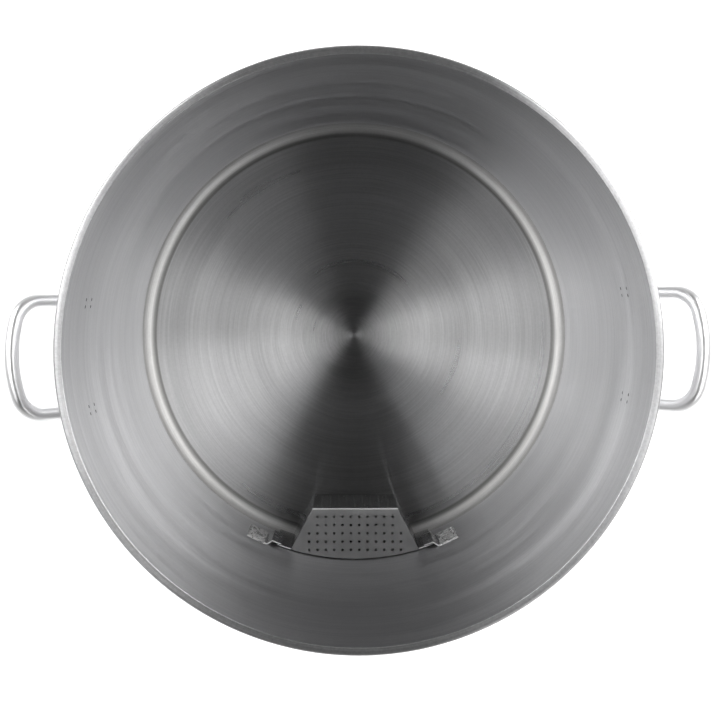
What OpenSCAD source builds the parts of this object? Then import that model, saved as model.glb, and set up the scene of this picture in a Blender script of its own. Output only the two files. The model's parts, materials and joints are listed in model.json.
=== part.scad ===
// Stainless brew kettle: welded pot, two rod handles, a lift-out strainer and a ball-valve tap.
// Millimetres, +Z up. The origin is the centre of the underside of the base.
// The tap and the strainer are on the -Y side, the handles on the +X and -X sides.

/* [Kettle] */
// Inside diameter of the wall
inner_d = 500; // [460:5:560]
// Depth from the floor to the top of the rim
inner_h = 500; // [420:5:600]
// Thickness of the wall and of the bottom pan
wall_t = 1.5; // [1.2:0.1:2]
// Inside radius of the corner between the floor and the wall
corner_r = 15; // [12:1:18]
// Width of the rolled rim, measured outwards from the inside of the wall
rim_w = 7.3; // [6.5:0.1:9]
// Height of the rolled rim
rim_h = 9; // [8:0.5:12]

/* [Base] */
// Thickness of the aluminium heat-spreading disc
core_t = 6; // [4:0.5:8]
// Thickness of the steel cap under the disc
cap_t = 1; // [0.8:0.1:1.5]

/* [Handles] */
// Diameter of the handle rod
rod_d = 13; // [11:0.5:14]
// Radius of the handle's corner bends
bend_r = 25; // [20:5:30]
// Radius of the grip's slight bow
bow_r = 110; // [95:5:125]
// Distance from the wall's inside to the middle of the grip
grip_out = 55.8; // [52:0.2:65]
// Depth of the grip below the rim
grip_drop = 60; // [50:1:80]
// Depth of the middle of the feet below the rim
foot_drop = 109; // [100:1:130]
// Angle of the right handle off the +X axis
right_turn = 0.2; // [-3:0.1:3]
// Angle of the left handle off the -X axis
left_turn = 1.3; // [-3:0.1:3]

/* [Strainer] */
// Half width of the strainer's front plate
front_half = 48; // [44:1:52]
// Distance from the kettle's axis to the front plate
front_y = 191.2; // [186:0.2:196]
// Height of the strainer above the floor
strainer_h = 109; // [100:1:112]
// Sheet thickness of the strainer and the rails
sheet_t = 1.2; // [1:0.1:1.5]
// Diameter of the strainer's holes
hole_d = 3; // [2.4:0.1:3.6]
// Distance between holes
hole_pitch = 9.4; // [9:0.1:10]

/* [Rails] */
// Height of the rails' lower ends above the floor
rail_low = 57; // [50:1:60]
// Length of the rails
rail_len = 65; // [58:1:70]

/* [Tap] */
// Height of the tap's centre line above the ground
tap_z = 50; // [46:1:54]
// Outside radius of the pipe thread
thread_r = 10.4; // [10.2:0.05:10.5]
// Radius of the waterway
flow_r = 7.25; // [6.5:0.05:7.3]
// Length of the lever from the stem's axis
lever_len = 98; // [80:1:110]
// Outside radius of the hose spigot
spigot_r = 6.5; // [6.3:0.1:7]

/* [Hidden] */

$fn = 96;
eps = 0.02;
fit = 0.05;          // radial room between a thread and its hole
run_fit = 0.06;      // radial running clearance of the stem

inner_r = inner_d / 2;
outer_r = inner_r + wall_t;
floor_z = cap_t + core_t + wall_t;
rim_z = floor_z + inner_h;
pan_flat_r = inner_r - corner_r;
pan_lip = 2;                                  // straight rise of the pan above its corner
seam_w = 0.8;                                 // width of the weld between pan and wall
pan_top = floor_z + corner_r + pan_lip;
wall_low = pan_top + seam_w;
cap_r = pan_flat_r + 2;
cap_edge = 2;
core_r = cap_r - 1.1;
core_bevel = 1.2;

// handle: a bent rod in one sloping plane, from its feet up to the grip
foot_t = 2.5;
foot_w = 20;
foot_h = 46;
foot_face_r = outer_r + foot_t;
grip_r = inner_r + grip_out;
slope_run = grip_r - foot_face_r;
slope_rise = foot_drop - grip_drop;
handle_len = sqrt(slope_run * slope_run + slope_rise * slope_rise);
handle_tilt = atan2(slope_rise, slope_run);
rod_r = rod_d / 2;
join_len = 2.5;                               // straight length between a corner and the bow
bow_dx = 0.96;                                // direction from the bow's centre to its ends
bow_dy = 0.28;
bow_half = asin(bow_dy);
bow_x = handle_len - bow_r;
bend_x = (bow_r - bend_r) * bow_dx - join_len * bow_dy;
bend_y = (bow_r - bend_r) * bow_dy + join_len * bow_dx;
leg_gap = 2 * (bend_y + bend_r);              // distance between the two legs

// spot welds: two by two behind each foot
spot_r = 1.6;
spot_t = 0.25;
spot_dy = 6.5;
spot_dz = 27;
spot_gap = 97;
spot_turn_right = 0.8;
spot_turn_left = 1.6;

// strainer and rails, as angles from the -Y direction seen along the wall
flange_out_r = inner_r - 1.5;
flange_in_r = flange_out_r - sheet_t;
rear_angle = 16.9;
flange_angle = 20.8;
rear_half = flange_in_r * sin(rear_angle);
rear_y = flange_in_r * cos(rear_angle);
side_y = inner_r + 5;                         // the cover's slanted sides, carried on past the wall
side_half = front_half + (rear_half - front_half) / (rear_y - front_y) * (side_y - front_y);
strainer_gap = 0.4;                           // room between the strainer and the floor
hole_first_y = front_y + 9.7;
rail_slot = 5.6;
rail_in_r = inner_r - rail_slot - sheet_t;
rail_tip_angle = 19.1;
rail_step_angle = 21.7;
rail_foot_angle = 22.5;
rail_end_angle = 27.7;
rails_turn = 0.65;                            // the pair of rails sits a little towards -X
bead_w = 3;
bead_t = 2.2;
bead_gap = 1;                                 // bare length at each end of the upright bead

// tap: distances along the outlet, measured from the kettle's axis towards -Y
gasket_r = 17;
wall_hole_r = thread_r + 0.3;
nipple_in = inner_r - 15;
nut_t = 8;
nut_af = 27;
gasket_flat_in = inner_r - 2.8;
gasket_flat_out = outer_r + 2.8;
washer_t = 2;
nut_out_s = gasket_flat_out + washer_t;
valve_s = nut_out_s + nut_t + 0.5;
ball_s = valve_s + 30.2;
ball_r = 12;
ball_room = 0.2;
seat_near = 6.5;
seat_far = 11;
seat_r = 12.95;
cavity_r = 13;
inlet_depth = 13.2;
nipple_out = valve_s + inlet_depth - 1;
body_end_s = ball_s + 17;
body_r = 16.5;
belly_r = 18.5;
cap_hex_len = 14;
tail_s = body_end_s + cap_hex_len;
tail_hex_len = 7;
tail_hex_af = 24;
tail_thread = 9.5;
spigot_len = 28;
spigot_plain = 14;
tail_bore_r = 4.8;

// stem and bonnet: heights above the tap's centre line
stem_r = 4;
stud_r = 3;
collar_r = 5.6;
collar_low = 12.2;
collar_high = 14.2;
bonnet_r = 8.5;
bonnet_top = 27;
seal_low = 20;
seal_high = 24.8;
seal_r = 6;
gland_af = 14;
gland_t = 4;
lever_low = 33;
lever_t = 2.5;
lever_w = 14;
lever_nut_t = 5;
stem_top = 43;
joggle_x0 = 20;
joggle_x1 = 31;
joggle_rise = 8;
sleeve_start = 36;
sleeve_wall = 2.2;

// ---------------------------------------------------------------- helpers

// a rod along the tap's axis, from distance s outwards
module rod_y(s, len, r) translate([0, -s, tap_z]) rotate([90, 0, 0]) cylinder(h = len, r = r);

// a cone along the tap's axis
module cone_y(s, len, r_a, r_b) translate([0, -s, tap_z]) rotate([90, 0, 0]) cylinder(h = len, r1 = r_a, r2 = r_b);

// a hexagonal bar along +Z with bevelled corners
module hex_bar(len, af) {
    intersection() {
        cylinder(h = len, r = af / sqrt(3), $fn = 6);
        union() {
            cylinder(h = 1, r1 = af / 2, r2 = af / 2 + 1.75);
            translate([0, 0, 1 - eps]) cylinder(h = len - 2 + 2 * eps, r = af / 2 + 2.5);
            translate([0, 0, len - 1]) cylinder(h = 1, r1 = af / 2 + 1.75, r2 = af / 2);
        }
    }
}

// the same bar along the tap's axis, from distance s outwards
module hex_y(s, len, af) translate([0, -s, tap_z]) rotate([90, 0, 0]) hex_bar(len, af);

// a ring sector of the wall's shape, between two angles measured from -Y towards +X
module sector(r_in, r_out, a0, a1, z0, z1) {
    rotate([0, 0, -90 + a0])
        rotate_extrude(angle = a1 - a0, $fn = 360)
            translate([r_in, z0]) square([r_out - r_in, z1 - z0]);
}

// a flat shape with rounded corners
module round_box(w, h, r) {
    translate([r, 0]) square([w - 2 * r, h]);
    translate([0, r]) square([w, h - 2 * r]);
    for (x = [r, w - r], y = [r, h - r]) translate([x, y]) circle(r = r, $fn = 48);
}

module mirrored() {
    children();
    mirror([1, 0, 0]) children();
}

// ---------------------------------------------------------------- pot

// wall sheet with its edge rolled outwards and down into the rim
module kettle_wall() color([0.66, 0.66, 0.67]) {
    difference() {
        rotate_extrude($fn = 360) {
            translate([inner_r, wall_low]) square([wall_t, rim_z - rim_h / 2 - wall_low]);
            difference() {
                translate([inner_r, rim_z - rim_h]) round_box(rim_w, rim_h, 2.4);
                translate([inner_r + wall_t, rim_z - rim_h + wall_t])
                    round_box(rim_w - 2 * wall_t, rim_h - 2 * wall_t, 1);
                translate([inner_r - eps, rim_z - rim_h - 1]) square([wall_t + 1.2, 3]);
            }
            translate([inner_r, rim_z - rim_h - 1]) square([wall_t, 5]);
        }
        rod_y(inner_r - 20, 40, wall_hole_r);
    }
}

// floor, corner and a short straight rise, pressed from one sheet
module bottom_pan() color([0.62, 0.62, 0.63]) rotate_extrude($fn = 360) {
    translate([0, floor_z - wall_t]) square([pan_flat_r, wall_t]);
    translate([inner_r, floor_z + corner_r]) square([wall_t, pan_lip]);
    intersection() {
        translate([pan_flat_r, floor_z + corner_r]) difference() {
            circle(r = corner_r + wall_t, $fn = 120);
            circle(r = corner_r, $fn = 120);
        }
        translate([pan_flat_r, floor_z - wall_t]) square([corner_r + wall_t, corner_r + wall_t]);
    }
}

// ground-flush weld that joins the pan to the wall
module seam_weld() color([0.5, 0.5, 0.5]) rotate_extrude($fn = 360)
    translate([inner_r, pan_top]) square([wall_t + 0.2, seam_w]);

// aluminium disc, bevelled below to clear the cap's rounded corner
module base_core() color([0.75, 0.75, 0.77]) translate([0, 0, cap_t]) {
    cylinder(h = core_bevel, r1 = core_r - core_bevel, r2 = core_r, $fn = 360);
    translate([0, 0, core_bevel - eps]) cylinder(h = core_t - core_bevel + eps, r = core_r, $fn = 360);
}

// thin steel dish around the aluminium disc
module base_cap() color([0.6, 0.6, 0.61]) rotate_extrude($fn = 360) {
    square([cap_r - cap_edge, cap_t]);
    translate([cap_r - 1, cap_edge]) square([1, cap_t + core_t - cap_edge]);
    intersection() {
        translate([cap_r - cap_edge, cap_edge]) difference() {
            circle(r = cap_edge, $fn = 64);
            circle(r = cap_edge - 1, $fn = 64);
        }
        translate([cap_r - cap_edge, 0]) square(cap_edge);
    }
}

// ---------------------------------------------------------------- handles

// carries a handle's own plane to its place on the wall; x runs outwards and up, y along the wall
module on_wall(turn, side) rotate([0, 0, side + turn])
    translate([foot_face_r, 0, rim_z - foot_drop]) rotate([0, -handle_tilt, 0]) children();

// part of a ring of rod
module rod_ring(r, angle) rotate_extrude(angle = angle, $fn = 120) translate([r, 0]) circle(r = rod_r, $fn = 48);

// half of the bent rod: leg, corner, short straight and half of the bowed grip
module half_rod() {
    translate([bend_x, leg_gap / 2, 0]) rotate([0, -90, 0])
        cylinder(h = bend_x + bow_x + 12, r = rod_r, $fn = 48);
    translate([bend_x, bend_y, 0]) difference() {
        rod_ring(bend_r, 90);
        rotate([0, 0, bow_half]) translate([0, -60, -rod_r - 1]) cube([60, 60, rod_d + 2]);
    }
    rotate([0, 0, bow_half]) translate([bow_r, 0, 0]) rotate([-90, 0, 0])
        cylinder(h = join_len, r = rod_r, $fn = 48);
    difference() {
        rod_ring(bow_r, 90);
        rotate([0, 0, bow_half]) translate([-60, 0, -rod_r - 1]) cube([200, 200, rod_d + 2]);
    }
}

// the bent rod, before its ends are shaped to the feet
module bare_rod() translate([bow_x, 0, 0]) {
    half_rod();
    mirror([0, 1, 0]) half_rod();
}

module handle(turn, side) difference() {
    on_wall(turn, side) bare_rod();
    translate([0, 0, rim_z - foot_drop - 60]) cylinder(h = 120, r = foot_face_r, $fn = 360);
}

// a bead round the end of each leg, where it meets its foot
module leg_beads(turn, side) intersection() {
    on_wall(turn, side) for (s = [-1, 1]) translate([-9, s * leg_gap / 2, 0]) rotate([0, 90, 0])
        difference() {
            cylinder(h = 18, r1 = rod_r + 5.5, r2 = rod_r + 0.1, $fn = 48);
            translate([0, 0, -1]) cylinder(h = 20, r = rod_r, $fn = 48);
        }
    rotate([0, 0, side + turn]) translate([0, 0, rim_z - foot_drop - 30]) difference() {
        cylinder(h = 60, r = foot_face_r + 3.2, $fn = 360);
        translate([0, 0, -1]) cylinder(h = 62, r = foot_face_r, $fn = 360);
    }
}

// curved plates that spread each leg's load over the wall
module feet(turn, side) rotate([0, 0, side + turn]) intersection() {
    translate([0, 0, rim_z - foot_drop - foot_h / 2]) difference() {
        cylinder(h = foot_h, r = foot_face_r, $fn = 360);
        translate([0, 0, -1]) cylinder(h = foot_h + 2, r = outer_r, $fn = 360);
    }
    for (s = [-1, 1]) translate([outer_r - 10, s * leg_gap / 2, rim_z - foot_drop]) rotate([0, 90, 0])
        linear_extrude(20) translate([-foot_h / 2, -foot_w / 2]) round_box(foot_h, foot_w, 6);
}

module handle_right() color([0.85, 0.85, 0.86]) handle(right_turn, 0);
module handle_left() color([0.85, 0.85, 0.86]) handle(left_turn, 180);
module feet_right() color([0.72, 0.72, 0.73]) feet(right_turn, 0);
module feet_left() color([0.72, 0.72, 0.73]) feet(left_turn, 180);
module handle_welds() color([0.6, 0.6, 0.6]) {
    leg_beads(right_turn, 0);
    leg_beads(left_turn, 180);
}

// resistance-weld nuggets that show on the inside of the wall, four behind each foot
module spot_marks(turn, side) rotate([0, 0, side + turn]) intersection() {
    translate([0, 0, rim_z - foot_drop - 40]) difference() {
        cylinder(h = 80, r = inner_r, $fn = 360);
        translate([0, 0, -1]) cylinder(h = 82, r = inner_r - spot_t, $fn = 360);
    }
    for (s = [-1, 1], dy = [-0.5, 0.5], dz = [-0.5, 0.5])
        translate([inner_r - 5, s * spot_gap / 2 + dy * spot_dy, rim_z - foot_drop + dz * spot_dz])
            rotate([0, 90, 0]) cylinder(h = 10, r = spot_r, $fn = 32);
}

module spot_welds() color([0.5, 0.5, 0.52]) {
    spot_marks(spot_turn_right, 0);
    spot_marks(spot_turn_left, 180);
}

// ---------------------------------------------------------------- strainer and its rails

// outline of the strainer's cover, seen from above
module cover_plan(grow) {
    intersection() {
        polygon([[-front_half - grow, -front_y + grow],
                 [front_half + grow, -front_y + grow],
                 [side_half + grow, -side_y],
                 [-side_half - grow, -side_y]]);
        circle(r = flange_out_r, $fn = 360);
    }
}

// the space inside the pot that the strainer may use, following floor and corner
module pot_room() rotate_extrude($fn = 360) {
    translate([0, floor_z + strainer_gap]) square([pan_flat_r, strainer_h + 10]);
    translate([0, floor_z + corner_r]) square([inner_r - 0.6, strainer_h + 10]);
    intersection() {
        translate([pan_flat_r, floor_z + corner_r]) circle(r = corner_r - 0.6, $fn = 120);
        translate([pan_flat_r, floor_z + 0.6]) square([corner_r, corner_r]);
    }
}

// holes through the top plate: two short rows at the front, three long ones behind
module top_holes() for (row = [0:4], col = [0:(row < 2 ? 9 : 11)]) {
    columns = row < 2 ? 10 : 12;
    translate([(col - (columns - 1) / 2) * hole_pitch, -hole_first_y - row * hole_pitch, floor_z + strainer_h - 5])
        cylinder(h = 10, r = hole_d / 2, $fn = 24);
}

// holes through the front plate
module front_holes() for (row = [0:9], col = [0:8])
    translate([(col - 4) * hole_pitch, -front_y + 5, floor_z + 13 + row * hole_pitch])
        rotate([90, 0, 0]) cylinder(h = 10, r = hole_d / 2, $fn = 24);

// one perforated sheet folded into a hood, with a flange down each rear edge
module strainer() color([0.55, 0.55, 0.56]) intersection() {
    union() {
        difference() {
            translate([0, 0, floor_z]) linear_extrude(strainer_h) cover_plan(0);
            translate([0, 0, floor_z - 1]) linear_extrude(strainer_h + 1 - sheet_t) union() {
                cover_plan(-sheet_t);
                intersection() {
                    translate([-rear_half, -inner_r - 5]) square([2 * rear_half, inner_r - rear_y + 5]);
                    cover_plan(-sheet_t);
                }
            }
            top_holes();
            front_holes();
        }
        mirrored() sector(flange_in_r, flange_out_r, rear_angle - 0.1, flange_angle,
                          floor_z, floor_z + strainer_h);
    }
    pot_room();
}

// Z-shaped strip: a leg welded to the wall, a step, and a free leg that holds the strainer's flange
module guide_rail(turn) translate([0, 0, floor_z + rail_low]) intersection() {
    foot = rail_foot_angle + turn;
    step = rail_step_angle + turn;
    translate([0, -inner_r - 5, 0]) cube([inner_r, inner_r, rail_len]);
    union() {
        sector(inner_r - sheet_t, inner_r, foot, rail_end_angle + turn, -1, rail_len + 1);
        sector(rail_in_r, rail_in_r + sheet_t, rail_tip_angle + turn, step, -1, rail_len + 1);
        translate([0, 0, -2]) linear_extrude(rail_len + 4) polygon([
            for (p = [[rail_in_r + 0.2, step - 0.15], [rail_in_r + sheet_t - 0.2, step - 0.4],
                      [inner_r - 0.2, foot + 0.15], [inner_r - sheet_t + 0.2, foot + 0.4]])
                [p[0] * sin(p[1]), -p[0] * cos(p[1])]]);
    }
}
module guide_rail_right() color([0.7, 0.7, 0.71]) guide_rail(-rails_turn);
module guide_rail_left() color([0.7, 0.7, 0.71]) mirror([1, 0, 0]) guide_rail(rails_turn);

// weld beads along the welded leg: across its top and its foot, and down its outer edge
module rail_bead(turn) {
    z_low = floor_z + rail_low;
    z_high = z_low + rail_len;
    end = rail_end_angle + turn;
    for (z = [z_low - bead_w, z_high])
        sector(inner_r - bead_t, inner_r, rail_foot_angle + turn + 0.3, end, z, z + bead_w);
    sector(inner_r - bead_t, inner_r, end, end + 0.6, z_low + bead_gap, z_high - bead_gap);
}
module rail_welds() color([0.8, 0.8, 0.8]) {
    rail_bead(-rails_turn);
    mirror([1, 0, 0]) rail_bead(rails_turn);
}

// ---------------------------------------------------------------- tap

module nipple() color([0.7, 0.7, 0.71]) difference() {
    union() {
        cone_y(nipple_in, 1, thread_r - 1, thread_r);
        rod_y(nipple_in + 1, nipple_out - nipple_in - 1, thread_r);
    }
    rod_y(nipple_in - 1, nipple_out - nipple_in + 2, flow_r);
}

module lock_nut(s) difference() {
    hex_y(s, nut_t, nut_af);
    rod_y(s - 1, nut_t + 2, thread_r + fit);
}

module lock_nut_inner() color([0.68, 0.68, 0.7]) lock_nut(gasket_flat_in - nut_t);
module lock_nut_outer() color([0.68, 0.68, 0.7]) lock_nut(nut_out_s);

// soft rings: flat against the nut or the washer, curved against the wall
module gasket_inner() color([0.75, 0.25, 0.2]) difference() {
    intersection() {
        rod_y(gasket_flat_in, 10, gasket_r);
        translate([0, 0, tap_z - 30]) cylinder(h = 60, r = inner_r, $fn = 360);
    }
    rod_y(gasket_flat_in - 1, 12, thread_r + fit);
}

module gasket_outer() color([0.75, 0.25, 0.2]) difference() {
    rod_y(gasket_flat_out - 10, 10, gasket_r);
    translate([0, 0, tap_z - 30]) cylinder(h = 60, r = outer_r, $fn = 360);
    rod_y(gasket_flat_out - 11, 12, thread_r + fit);
}

module washer_outer() color([0.7, 0.7, 0.72]) difference() {
    rod_y(gasket_flat_out, washer_t, gasket_r);
    rod_y(gasket_flat_out - 1, washer_t + 2, thread_r + fit);
}

// cast body: hexagonal inlet, round belly and the stem's bonnet on top
module valve_body() color([0.68, 0.68, 0.69]) difference() {
    union() {
        hex_y(valve_s, 11, nut_af);
        cone_y(valve_s + 9, 4, 13, body_r);
        rod_y(valve_s + 13, body_end_s - valve_s - 13, body_r);
        cone_y(ball_s - 14, 4, body_r, belly_r);
        rod_y(ball_s - 10, 20, belly_r);
        cone_y(ball_s + 10, 4, belly_r, body_r);
        translate([0, -ball_s, tap_z + 8]) cylinder(h = bonnet_top - 8, r = bonnet_r);
        translate([0, -ball_s, tap_z + 12]) cylinder(h = 9, r1 = bonnet_r + 4, r2 = bonnet_r);
    }
    rod_y(valve_s - 1, inlet_depth + 1, thread_r + fit);
    rod_y(valve_s, 30, flow_r);
    rod_y(ball_s - seat_far, 40, cavity_r);
    translate([0, -ball_s, tap_z]) cylinder(h = collar_high + 0.4, r = collar_r + 0.3);
    translate([0, -ball_s, tap_z]) cylinder(h = 40, r = stem_r + run_fit);
    translate([0, -ball_s, tap_z + seal_low]) cylinder(h = 20, r = seal_r);
}

module valve_end_cap() color([0.68, 0.68, 0.69]) difference() {
    union() {
        rod_y(ball_s + seat_far, body_end_s - ball_s - seat_far + 1, seat_r);
        hex_y(body_end_s, cap_hex_len, nut_af);
    }
    rod_y(ball_s, 40, flow_r);
    rod_y(tail_s - tail_thread - 0.5, 20, thread_r + fit);
}

// drilled ball with a slot on top for the stem's tongue
module ball() color([0.8, 0.8, 0.82]) translate([0, -ball_s, tap_z]) difference() {
    sphere(r = ball_r, $fn = 96);
    translate([-20, 0, 0]) rotate([0, 90, 0]) cylinder(h = 40, r = flow_r);
    translate([-1.6, -10, 8.6]) cube([3.2, 20, 5]);
}

// sealing rings with a cupped face that follows the ball
module ball_seat(s) color([0.95, 0.95, 0.93]) difference() {
    rod_y(s, seat_far - seat_near, seat_r);
    rod_y(s - 1, seat_far, flow_r + 0.2);
    translate([0, -ball_s, tap_z]) sphere(r = ball_r + ball_room, $fn = 96);
}

module ball_seat_inner() ball_seat(ball_s - seat_far);
module ball_seat_outer() ball_seat(ball_s + seat_near);

// tongue, blow-out collar, round shank and threaded end
module stem() color([0.75, 0.75, 0.77]) translate([0, -ball_s, tap_z]) {
    intersection() {
        translate([-1.5, -5, 8.8]) cube([3, 10, collar_low - 8.8 + eps]);
        cylinder(h = 30, r = 5);
    }
    translate([0, 0, collar_low]) cylinder(h = collar_high - collar_low, r = collar_r);
    translate([0, 0, collar_high - eps]) cylinder(h = lever_low - collar_high + eps, r = stem_r);
    translate([0, 0, lever_low - eps]) cylinder(h = stem_top - lever_low, r = stud_r);
}

module stem_seal() color([0.95, 0.95, 0.93]) translate([0, -ball_s, tap_z + seal_low]) difference() {
    cylinder(h = seal_high - seal_low, r = seal_r - fit);
    translate([0, 0, -1]) cylinder(h = 10, r = stem_r + run_fit);
}

module packing_nut() color([0.7, 0.7, 0.72]) translate([0, -ball_s, tap_z]) difference() {
    union() {
        translate([0, 0, seal_high]) cylinder(h = bonnet_top - seal_high + 1, r = seal_r - fit);
        translate([0, 0, bonnet_top]) hex_bar(gland_t, gland_af);
    }
    translate([0, 0, seal_high - 1]) cylinder(h = 20, r = stem_r + run_fit);
}

// pressed strip that steps up to clear the packing nut; closed, it points to +X
module lever() color([0.72, 0.72, 0.74]) translate([0, -ball_s, tap_z + lever_low]) difference() {
    union() {
        cylinder(h = lever_t, r = 9);
        intersection() {
            translate([0, lever_w / 2, 0]) rotate([90, 0, 0]) linear_extrude(lever_w) polygon([
                [0, 0], [joggle_x0, 0], [joggle_x1, joggle_rise], [lever_len, joggle_rise],
                [lever_len, joggle_rise + lever_t], [joggle_x1 - 1, joggle_rise + lever_t],
                [joggle_x0 - 1, lever_t], [0, lever_t]]);
            union() {
                translate([0, -lever_w / 2, -1]) cube([lever_len - lever_w / 2, lever_w, 20]);
                translate([lever_len - lever_w / 2, 0, -1]) cylinder(h = 20, r = lever_w / 2);
            }
        }
    }
    translate([0, 0, -1]) cylinder(h = 10, r = stud_r + fit);
}

// dipped soft grip over the lever's outer part
module lever_sleeve() color([0.12, 0.12, 0.13])
    translate([0, -ball_s, tap_z + lever_low + joggle_rise + lever_t / 2]) difference() {
        intersection() {
            translate([sleeve_start, 0, 0]) rotate([90, 0, 90]) linear_extrude(lever_len - sleeve_start + sleeve_wall)
                translate([-lever_w / 2 - sleeve_wall, -lever_t / 2 - sleeve_wall])
                    round_box(lever_w + 2 * sleeve_wall, lever_t + 2 * sleeve_wall, 3);
            union() {
                translate([sleeve_start, -12, -8]) cube([lever_len - lever_w / 2 - sleeve_start, 24, 16]);
                translate([lever_len - lever_w / 2, 0, -8]) cylinder(h = 16, r = lever_w / 2 + sleeve_wall);
            }
        }
        translate([sleeve_start - 1, -lever_w / 2 - fit, -lever_t / 2 - fit])
            cube([lever_len - lever_w / 2 - sleeve_start + 1, lever_w + 2 * fit, lever_t + 2 * fit]);
        translate([lever_len - lever_w / 2, 0, -lever_t / 2 - fit])
            cylinder(h = lever_t + 2 * fit, r = lever_w / 2 + fit);
    }

module lever_nut() color([0.75, 0.75, 0.77]) translate([0, -ball_s, tap_z + lever_low + lever_t]) difference() {
    hex_bar(lever_nut_t, 10);
    translate([0, 0, -1]) cylinder(h = 10, r = stud_r + fit);
}

// threaded end, hexagon and a grooved spigot for a clamped hose
module hose_tail() color([0.7, 0.7, 0.71]) difference() {
    union() {
        rod_y(tail_s - tail_thread, tail_thread + 1, thread_r);
        hex_y(tail_s, tail_hex_len, tail_hex_af);
        rod_y(tail_s + tail_hex_len - 1, spigot_len, spigot_r);
        cone_y(tail_s + tail_hex_len - 1 + spigot_len, 1, spigot_r, spigot_r - 1);
    }
    rod_y(tail_s - 20, 80, tail_bore_r);
    for (i = [0:2]) difference() {
        rod_y(tail_s + tail_hex_len + spigot_plain + i * 4.4, 1.8, spigot_r + 1);
        rod_y(tail_s + tail_hex_len + spigot_plain + i * 4.4 - 1, 4, spigot_r - 0.6);
    }
}

kettle_wall();
bottom_pan();
seam_weld();
base_core();
base_cap();
handle_left();
handle_right();
feet_left();
feet_right();
handle_welds();
spot_welds();
strainer();
guide_rail_left();
guide_rail_right();
rail_welds();
nipple();
lock_nut_inner();
gasket_inner();
gasket_outer();
washer_outer();
lock_nut_outer();
valve_body();
valve_end_cap();
ball();
ball_seat_inner();
ball_seat_outer();
stem();
stem_seal();
packing_nut();
lever();
lever_sleeve();
lever_nut();
hose_tail();
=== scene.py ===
"""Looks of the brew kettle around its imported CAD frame: meshes, materials, light and camera.

Lengths are in metres.
"""
import json
import math

import bmesh
import bpy
from mathutils import Matrix, Vector
from mathutils import noise as field
from mathutils.geometry import delaunay_2d_cdt


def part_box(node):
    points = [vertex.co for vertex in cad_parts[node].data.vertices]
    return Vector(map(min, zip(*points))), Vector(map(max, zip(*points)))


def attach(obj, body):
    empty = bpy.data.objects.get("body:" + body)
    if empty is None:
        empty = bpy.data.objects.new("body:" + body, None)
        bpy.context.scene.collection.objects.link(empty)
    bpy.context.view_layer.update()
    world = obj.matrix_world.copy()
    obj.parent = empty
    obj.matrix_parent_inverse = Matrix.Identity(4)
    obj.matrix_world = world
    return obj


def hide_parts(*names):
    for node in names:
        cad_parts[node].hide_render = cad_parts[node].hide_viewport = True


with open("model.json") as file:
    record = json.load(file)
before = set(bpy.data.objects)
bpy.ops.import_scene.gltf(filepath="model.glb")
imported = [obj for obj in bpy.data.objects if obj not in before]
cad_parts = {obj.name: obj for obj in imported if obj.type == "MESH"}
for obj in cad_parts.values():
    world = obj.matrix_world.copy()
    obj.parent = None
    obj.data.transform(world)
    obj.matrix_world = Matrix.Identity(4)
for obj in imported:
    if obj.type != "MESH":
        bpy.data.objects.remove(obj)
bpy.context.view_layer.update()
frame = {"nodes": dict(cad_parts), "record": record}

# ------------------------------------------------------------------ sizes read from the frame
WALL_LO, WALL_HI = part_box("kettle_wall")
PAN_LO, PAN_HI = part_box("bottom_pan")
STRAINER_LO, STRAINER_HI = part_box("strainer")
RAIL_LO, RAIL_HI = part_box("guide_rail_right")
NIPPLE_LO, NIPPLE_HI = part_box("nipple")
RIM_Z = WALL_HI[2]
RIM_R = (WALL_HI[0] - WALL_LO[0]) / 2
WALL_T = 0.0015          # thickness of the wall and the floor
OUTER_R = (PAN_HI[0] - PAN_LO[0]) / 2
INNER_R = OUTER_R - WALL_T
FLOOR_Z = PAN_LO[2] + WALL_T
CORNER_R = 0.015
RIM_H = 0.009            # height of the curl
RIM_ROUND = 0.0024       # outer radius of the curl's bends
RIM_EDGE = 0.0007        # radius of the rim's inner edge
CURL_GAP = 0.0013        # between the wall and the curl's end
SPLIT = 0.0001           # small step between surfaces, also used as a tolerance
ROUND_STEPS = 512        # segments of the pot's turned meshes

# handles: a rod bent in a sloping plane, its legs standing on curved plates
FOOT_R = 0.254
FOOT_Z = RIM_Z - 0.109
GRIP_RUN = 0.0518
GRIP_RISE = 0.049
ROD_R = 0.0065
BEND_R = 0.025
BOW_R = 0.110
JOIN = 0.0025            # straight run between a corner bend and the bowed grip
BOW_DX, BOW_DY = 0.96, 0.28    # direction from the bow's centre to its end
HANDLE_TURN = {"right": math.radians(0.2), "left": math.radians(181.3)}
SPOT_GAP = 0.097
SPOT_TURN = {"right": math.radians(0.8), "left": math.radians(181.6)}
SPOT_DY, SPOT_DZ = 0.0065, 0.027       # spacing of the four weld marks behind a leg

# strainer and rails; angles in degrees from -Y
SHEET = 0.0012
FRONT_HALF = 0.048
FRONT_Y = -STRAINER_HI[1]
FLANGE_R = INNER_R - 0.0015
REAR_ANGLE = 16.9
FLANGE_ANGLE = 20.8
STRAINER_TOP = STRAINER_HI[2]
STRAINER_LOW = STRAINER_LO[2]
RAIL_SLOT = 0.0056
RAIL_TIP = 19.1
RAIL_STEP = 21.6
RAIL_FOOT = 22.6
RAIL_END = 27.7
RAILS_TURN = 0.65
HOLE_R = 0.0015
HOLE_PITCH = 0.0094
TOP_FIRST = 0.0097       # from the front panel to the top plate's first row of holes
TOP_ROWS = (10, 10, 12, 12, 12)        # holes in each row of the top plate
FRONT_FIRST = 0.013      # from the floor to the front panel's first row
FRONT_ROWS, FRONT_COLUMNS = 10, 9
HOLE_SIDES = 16
HEIGHT_STEPS = 8
BEND_STEPS = 6


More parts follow.
